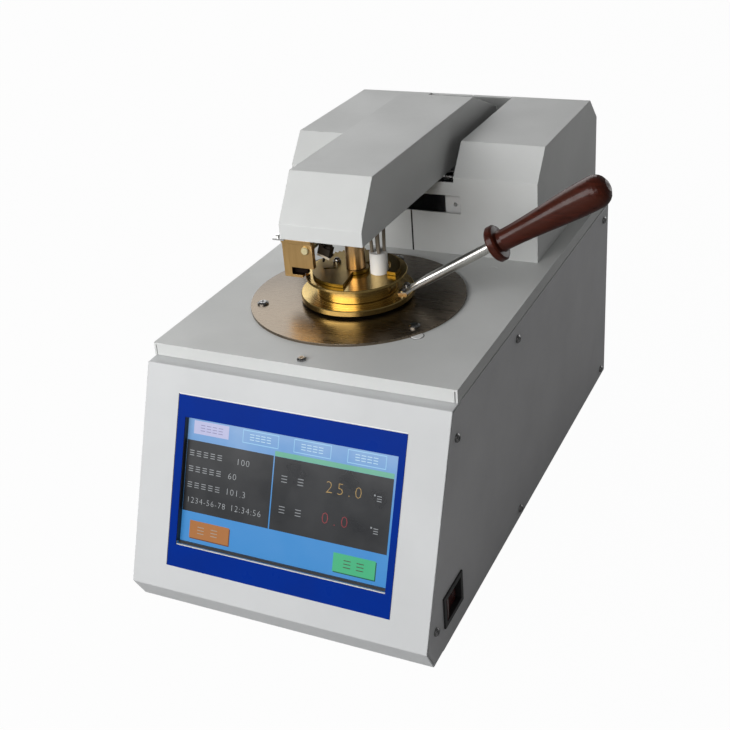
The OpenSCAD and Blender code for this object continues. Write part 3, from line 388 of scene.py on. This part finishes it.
# The igniter, blackened but for the bare brass front edge of its lower plate, painted paler than
# brass as a painted highlight
clamp = softened("igniter_arm", 0.15)
bm = bmesh.new()
block(bm, by_cup(-20.75, -8.75, 208.7), (9.6, 0.3, 1.5), Matrix.Rotation(math.radians(18), 4, "Y"))
piece("igniter_edge_painted_highlight", bm, EDGE_PAINTED_HIGHLIGHT, BODY_OF["igniter_arm"])
painted(clamp, EDGE_PAINTED_HIGHLIGHT, by_cup(-30, -9.2, 203), by_cup(-12, -8.6, 212))

softened("drip_plate", 0.3)

# The handle, with the front of its foot painted a dark brown, as painted shade
foot = softened("handle_rod", 0.15)
painted(foot, FOOT_PAINTED_SHADE, by_cup(30, -6, LEDGE_Z), by_cup(40, -2, LEDGE_Z + 1.3))

softened("display_bezel", 0.12)

# The plugs in the top cover: the rear one has the cover's colour, and the front one shows
# beyond the drip plate as a white crescent, with a black ring round it as painted shade
plugs = softened("cover_plugs", 0.3)
painted(plugs, MATERIALS["casing_paint"], by_cup(70, 60, 170), by_cup(80, 80, 180))
for name, radius, thick, material in (("plug_painted_shade", 5.0, 0.1, "black_plastic"),
                                      ("plug_rim", 4.5, 0.4, "ceramic_white")):
    bm = bmesh.new()
    bmesh.ops.create_cone(
        bm, cap_ends=True, segments=48, radius1=radius * MM, radius2=(radius - 0.2) * MM,
        depth=thick * MM, matrix=Matrix.Translation(by_cup(63.4, -44.3, TOP_Z + thick / 2)))
    piece(name, bm, MATERIALS[material], "case")

# The gap between the tower's covers, below the window, filled with a black strip as painted shade
bm = bmesh.new()
block(bm, at(-1.0, TOWER_Y + 0.02, TOP_Z + WINDOW_LOW / 2), (1.3, 0.1, WINDOW_LOW))
piece("tower_seam_painted_shade", bm, MATERIALS["black_plastic"], "case")


# The display

PANEL_TOP = at(0, -153.1, 166.1)
PANEL_RIGHT = Vector((1, 0, 0))
PANEL_DOWN = Vector((0, -58.9, -142.1)).normalized()
PANEL_OUT = Vector((0, -142.1, 58.9)).normalized()
GLASS_LIFT = -4.0


def on_panel(u, v, lift):
    """A point u mm right and v mm down the front panel, lift mm proud of it."""
    return PANEL_TOP + (PANEL_RIGHT * u + PANEL_DOWN * v + PANEL_OUT * lift) * MM


def plate(bm, u0, u1, v0, v1, lift, thick=0.08):
    """Adds a thin rectangle to bm, lying over the display."""
    turn = Matrix((PANEL_RIGHT, PANEL_DOWN, PANEL_OUT)).transposed().to_4x4()
    block(bm, on_panel((u0 + u1) / 2, (v0 + v1) / 2, lift + thick / 2),
          (u1 - u0, v1 - v0, thick), turn)


def patch(name, colour, boxes, lift, glow=0.5, haze=0.10):
    """A lit form on the display, made of rectangles of one colour."""
    bm = bmesh.new()
    for box in boxes:
        plate(bm, *box, GLASS_LIFT + lift)
    return piece(name, bm, lit(name, colour, glow, haze=haze), "case")


def strokes(u0, u1, v0, v1):
    """Three thin bars one above another, in the place of a written sign."""
    step = (v1 - v0 - 0.5) / 2
    return [(u0, u1, v0 + i * step, v0 + i * step + 0.5) for i in range(3)]


def digits(name, words, colour, glow=0.7, spread=1.14):
    """Plain numbers on the display: each entry is text, u, v of the line's foot, height."""
    bm = bmesh.new()
    for text, u, v, height in words:
        curve = bpy.data.curves.new(name, "FONT")
        curve.body = text
        curve.size = height * 1.38 * MM
        curve.extrude = 0.02 * MM
        curve.offset = -0.035 * height * MM
        curve.space_character = spread
        curve.resolution_u = 2
        holder = bpy.data.objects.new(name, curve)
        bpy.context.collection.objects.link(holder)
        mesh = bpy.data.meshes.new_from_object(holder.evaluated_get(
            bpy.context.evaluated_depsgraph_get()))
        turn = Matrix((PANEL_RIGHT, -PANEL_DOWN, PANEL_OUT)).transposed().to_4x4()
        mesh.transform(Matrix.Translation(on_panel(u, v, GLASS_LIFT + 0.24)) @ turn)
        bm.from_mesh(mesh)
        bpy.data.objects.remove(holder)
        bpy.data.curves.remove(curve)
        bpy.data.meshes.remove(mesh)
    return piece(name, bm, lit(name, colour, glow), "case")


patch("display_ground", (0.055, 0.295, 0.70), [(-77.0, 77.8, 31.5, 118.6)], 0.02, 0.42, 0.22)
patch("tab_now", (0.45, 0.46, 0.70), [(-72.2, -45.2, 35.0, 43.9)], 0.12, 0.55)
patch("tab_edges", (0.26, 0.56, 0.82),
      [edge for u in (-34.5, 3.6, 42.1)
       for edge in ((u, u + 27, 35.0, 35.6), (u, u + 27, 43.3, 43.9),
                    (u, u + 0.5, 35.0, 43.9), (u + 26.5, u + 27, 35.0, 43.9))], 0.12)
patch("tab_words", (0.46, 0.70, 0.84),
      [bar for u in (-34.5, 3.6, 42.1) for i in range(4)
       for bar in strokes(u + 5.4 + 4.2 * i, u + 8.6 + 4.2 * i, 37.4, 41.4)], 0.12)
patch("tab_now_words", (0.20, 0.20, 0.42),
      [bar for i in range(4)
       for bar in strokes(-67 + 4.6 * i, -63.6 + 4.6 * i, 37.4, 41.6)], 0.16)
patch("dark_fields", (0.020, 0.022, 0.026),
      [(-76.6, -10.3, 48.6, 97.5), (-9.4, 75.2, 48.6, 97.5)], 0.12, 0.25, 0.03)
patch("green_bar", (0.10, 0.42, 0.28), [(-9.5, 75.2, 45.2, 48.5)], 0.12)
patch("stop_button", (0.44, 0.17, 0.045), [(-69.9, -39.2, 103.3, 115.3)], 0.14, 0.45)
patch("stop_shade", (0.20, 0.07, 0.02), [(-69.4, -38.5, 104.0, 116.0)], 0.08, 0.2)
patch("start_button", (0.06, 0.46, 0.22), [(38.6, 68.4, 103.1, 115.4)], 0.14, 0.5)
patch("start_shade", (0.01, 0.14, 0.07), [(39.2, 69.1, 103.8, 116.1)], 0.08, 0.2)
digits("pale_digits", [
    ("100", -38, 59.6, 4.6), ("60", -43.5, 70.2, 4.6), ("101.3", -44.5, 80.9, 4.6),
    ("1234-56-78", -74, 91.4, 4.2), ("12:34:56", -40, 91.2, 4.4)],
    (0.40, 0.42, 0.44))
digits("amber_digits", [("25.0", 28.6, 65.6, 8.2)], (0.34, 0.21, 0.05), 0.7, 1.4)
digits("red_digits", [("0.0", 27.5, 86.2, 8.2)], (0.26, 0.022, 0.03), 0.7, 1.5)

patch("field_words", (0.34, 0.36, 0.38),
      [bar for v in (55.4, 66.2, 77.2) for i in range(5)
       for bar in strokes(-74 + 5.4 * i, -70.6 + 5.4 * i, v, v + 3.6)]
      + [bar for v in (60.4, 80.8) for u in (-3.4, 8.6)
         for bar in strokes(u, u + 4.2, v, v + 4.4)]
      + [(u, u + 1.1, v, v + 1.1) for u, v in ((62.8, 60.6), (62.4, 81.6))]
      + [bar for u, v in ((65.0, 61.2), (64.6, 82.2))
         for bar in strokes(u, u + 3.2, v, v + 3.6)], 0.14, 0.4)
patch("button_words", (0.40, 0.36, 0.30),
      [bar for u in (-63.6, -53.2) for bar in strokes(u, u + 5, 107.0, 111.8)], 0.24, 0.4)
patch("start_words", (0.10, 0.05, 0.04),
      [bar for u in (46.2, 55.4) for bar in strokes(u, u + 5, 106.8, 111.8)], 0.24, 0.2)

# The display's lower edge and lip, and the lines round the bezel: the black strips are painted
# shade, the white line above the bezel is a painted highlight, and the lip is the panel's white
# cut-out edge, made paler than the panel as a painted highlight
for name, slot, boxes in (
        ("display_edge_painted_shade", "black_plastic",
         [(-77.0, 78.2, 118.6, 120.4, GLASS_LIFT + 0.1, 1.6)]),
        ("display_lip", "ceramic_white", [(-77.0, 78.2, 120.5, 121.7, -1.6, 1.4)]),
        ("bezel_painted_shade", "black_plastic", [(-83.7, -83.05, 17.6, 136.6, 0.02),
                                        (-77.3, -76.8, 31.5, 118.6, -3.95, 3.9)]),
        ("bezel_shine", "ceramic_white", [(-83.7, 83.0, 17.3, 17.9, 0.02)])):
    bm = bmesh.new()
    for box in boxes:
        plate(bm, *box)
    piece(name, bm, MATERIALS[slot], "case")


# Camera, light and floor

camera_data = bpy.data.cameras.new("camera")
camera_data.sensor_width = 36.0
camera_data.lens = 57.67
camera_data.clip_start = 0.01
camera = bpy.data.objects.new("camera", camera_data)
bpy.context.collection.objects.link(camera)
right = Vector((0.9048, 0.4196, -0.0723))
up = Vector((-0.1398, 0.4532, 0.8804))
back = Vector((0.4022, -0.7865, 0.4687))
camera.matrix_world = (Matrix.Translation(at(340.8, -714.5, 523.7))
                       @ Matrix((right, up, back)).transposed().to_4x4())
scene = bpy.context.scene
scene.camera = camera
scene.view_settings.view_transform = "Standard"


def softbox(name, spot, target, size, power):
    """A white rectangular lamp, aimed at target."""
    lamp = bpy.data.lights.new(name, "AREA")
    lamp.shape = "RECTANGLE"
    lamp.size, lamp.size_y = size
    lamp.energy = power
    holder = bpy.data.objects.new(name, lamp)
    bpy.context.collection.objects.link(holder)
    holder.location = spot
    holder.rotation_euler = (Vector(target) - Vector(spot)).to_track_quat("-Z", "Y").to_euler()


middle = (0.0, 0.0, 0.15)
softbox("key", (-0.44, -1.45, 0.86), middle, (2.0, 0.72), 28.5)
softbox("back_card", (-1.5, 2.0, 1.5), middle, (2.6, 1.8), 27.0)
softbox("side_card", (0.62, 1.25, 0.25), (0.12, 0.15, 0.15), (0.7, 0.5), 2.1)

# The world: white to the camera, dim to the lit surfaces, faint in reflections
world = bpy.data.worlds.new("studio")
scene.world = world
world.use_nodes = True
tree = world.node_tree
dim = tree.nodes["Background"]
white = tree.nodes.new("ShaderNodeBackground")
for background, strength in ((dim, 0.05), (white, 1.0)):
    background.inputs["Color"].default_value = (1, 1, 1, 1)
    background.inputs["Strength"].default_value = strength
rays = tree.nodes.new("ShaderNodeLightPath")
faint = tree.nodes.new("ShaderNodeMath")
faint.operation = "MULTIPLY"
faint.inputs[1].default_value = 0.08
share = tree.nodes.new("ShaderNodeMath")
share.operation = "ADD"
share.use_clamp = True
blend = tree.nodes.new("ShaderNodeMixShader")
for source, target in ((rays.outputs["Is Glossy Ray"], faint.inputs[0]),
                       (rays.outputs["Is Camera Ray"], share.inputs[0]),
                       (faint.outputs[0], share.inputs[1]),
                       (share.outputs[0], blend.inputs[0]),
                       (dim.outputs[0], blend.inputs[1]),
                       (white.outputs[0], blend.inputs[2]),
                       (blend.outputs[0], tree.nodes["World Output"].inputs["Surface"])):
    tree.links.new(source, target)


# The floor: almost white to the camera, so that the shadow on it stays just visible
floor_graph = Graph("floor", Base_Color=(0.40, 0.40, 0.40), Roughness=0.85)
rays_seen = floor_graph.node("ShaderNodeLightPath", output="Is Camera Ray")
rays_glossy = floor_graph.node("ShaderNodeLightPath", output="Is Glossy Ray")
glow = floor_graph.tree.nodes.new("ShaderNodeEmission")
glow.inputs["Color"].default_value = (1, 1, 1, 1)
glow.inputs["Strength"].default_value = 1.0
floor_mix = floor_graph.tree.nodes.new("ShaderNodeMixShader")
floor_graph.plug(floor_mix.inputs[0], rays_seen * 0.975 + rays_glossy * 0.035)
floor_graph.tree.links.new(floor_graph.shader.outputs[0], floor_mix.inputs[1])
floor_graph.tree.links.new(glow.outputs[0], floor_mix.inputs[2])
floor_graph.tree.links.new(floor_mix.outputs[0],
                           floor_graph.tree.nodes["Material Output"].inputs["Surface"])
bm = bmesh.new()
bm.faces.new([bm.verts.new(c) for c in ((-6, -6, 0), (6, -6, 0), (6, 6, 0), (-6, 6, 0))])
mesh = bpy.data.meshes.new("floor")
bm.to_mesh(mesh)
bm.free()
mesh.materials.append(floor_graph.material)
floor = bpy.data.objects.new("floor", mesh)
bpy.context.collection.objects.link(floor)
